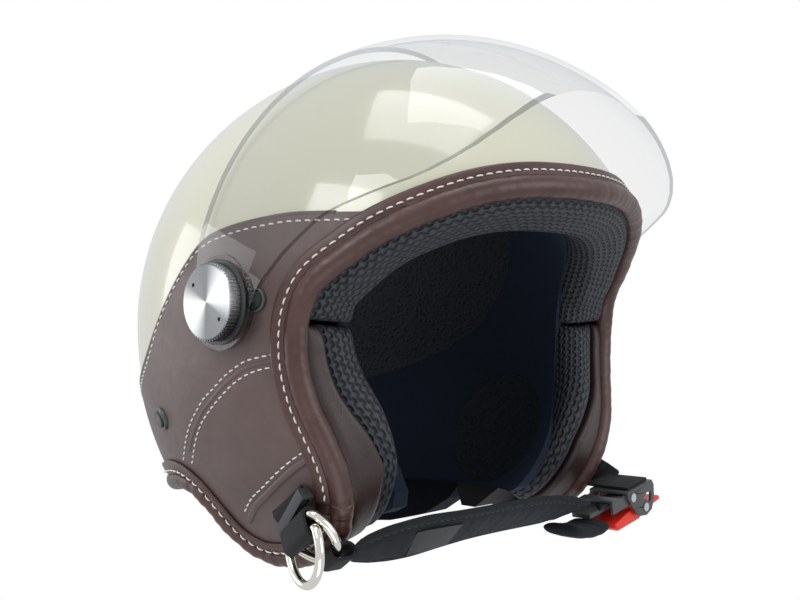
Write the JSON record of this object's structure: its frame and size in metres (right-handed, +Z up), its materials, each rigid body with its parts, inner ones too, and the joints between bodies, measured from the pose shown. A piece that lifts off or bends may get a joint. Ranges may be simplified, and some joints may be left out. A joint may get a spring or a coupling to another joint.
{
  "type": "open face helmet",
  "caption": "Open face motorcycle helmet with leather trim, padded lining, clear visor on side knobs, ring and buckle chin strap.",
  "frame": {"origin": "centre of the bounding box, at the level of the surface it stands on", "axes": "+Z up, -Y to the front, +X to the wearer's left"},
  "size_m": [0.271, 0.2688, 0.2529],
  "materials": {
    "shell": "gloss cream lacquer over moulded shell",
    "leather": "smooth dark brown, stitched in white",
    "foam": "moulded protective foam",
    "mesh": "black open spacer mesh",
    "lining": "navy brushed knit",
    "visor": "clear, light grey at the edge",
    "metal": "spun face, knurled rim",
    "hardware": "plain steel",
    "nickel": "bright nickel",
    "dark_plastic": "dark grey moulded",
    "red_plastic": "red moulded",
    "rubber": "black rubber",
    "webbing": "black ribbed webbing",
    "strap_fabric": "black padded cloth",
    "snap": "dark grey domed"
  },
  "bodies": {
    "helmet": {"outer_shell": "shell", "eps_liner": "foam", "leather_upper_right": "leather", "leather_upper_left": "leather", "leather_lower_right": "leather", "leather_lower_left": "leather", "leather_corner_right": "leather", "leather_corner_left": "leather", "face_edge_roll": "leather", "lower_edge_roll": "leather", "cheek_flap_right": "leather", "cheek_flap_left": "leather", "brow_pad": "mesh", "cheek_pad_right": "mesh", "cheek_pad_left": "mesh", "crown_pad_right": "mesh", "crown_pad_left": "mesh", "ear_mesh_right": "mesh", "ear_mesh_left": "mesh", "neck_lining": "lining", "side_lining_right": "lining", "side_lining_left": "lining", "neck_roll": "lining", "pivot_base_washers": "rubber", "pivot_bushes": "dark_plastic", "knob_washers": "dark_plastic", "pivot_studs": "hardware", "pivot_inserts": "hardware", "snap_rings": "snap", "snap_studs": "snap", "anchor_strap_right": "webbing", "anchor_strap_left": "webbing", "strap_keeper": "rubber", "d_ring_inner": "nickel", "chin_strap_core": "webbing", "chin_strap_pad": "strap_fabric", "strap_label": "strap_fabric", "strap_end_cover": "strap_fabric", "ratchet_tongue": "dark_plastic", "buckle_frame": "dark_plastic", "buckle_links": "dark_plastic", "buckle_pins": "hardware", "anchor_washers": "hardware", "anchor_rivets": "hardware"},
    "visor": {"visor": "visor"},
    "knob_right": {"side_knob_right": "metal"},
    "knob_left": {"side_knob_left": "metal"},
    "outer_ring": {"d_ring_outer": "nickel"},
    "lever": {"buckle_lever": "red_plastic"}
  },
  "joints": [
    {"name": "visor_hinge", "type": "hinge", "parent": "helmet", "child": "visor", "pos_m": [0, -0.0264, 0.1202], "axis": [1, 0, 0], "range_deg": [0, 42]},
    {"name": "knob_right_turn", "type": "hinge", "parent": "helmet", "child": "knob_right", "pos_m": [-0.132, -0.0264, 0.1202], "axis": [-1, 0, 0], "range_deg": [-45, 45]},
    {"name": "knob_left_turn", "type": "hinge", "parent": "helmet", "child": "knob_left", "pos_m": [0.132, -0.0264, 0.1202], "axis": [1, 0, 0], "range_deg": [-45, 45]},
    {"name": "outer_ring_swing", "type": "hinge", "parent": "helmet", "child": "outer_ring", "pos_m": [-0.10542, -0.05294, 0.0204], "axis": [-0.2404, -0.8315, 0.5009], "range_deg": [-40, 0]},
    {"name": "lever_lift", "type": "hinge", "parent": "helmet", "child": "lever", "pos_m": [0.10303, -0.0805, 0.01396], "axis": [0, 1, 0], "range_deg": [0, 16], "stiffness_Nm_per_rad": 0.05, "springref_deg": -5.73}
  ]
}
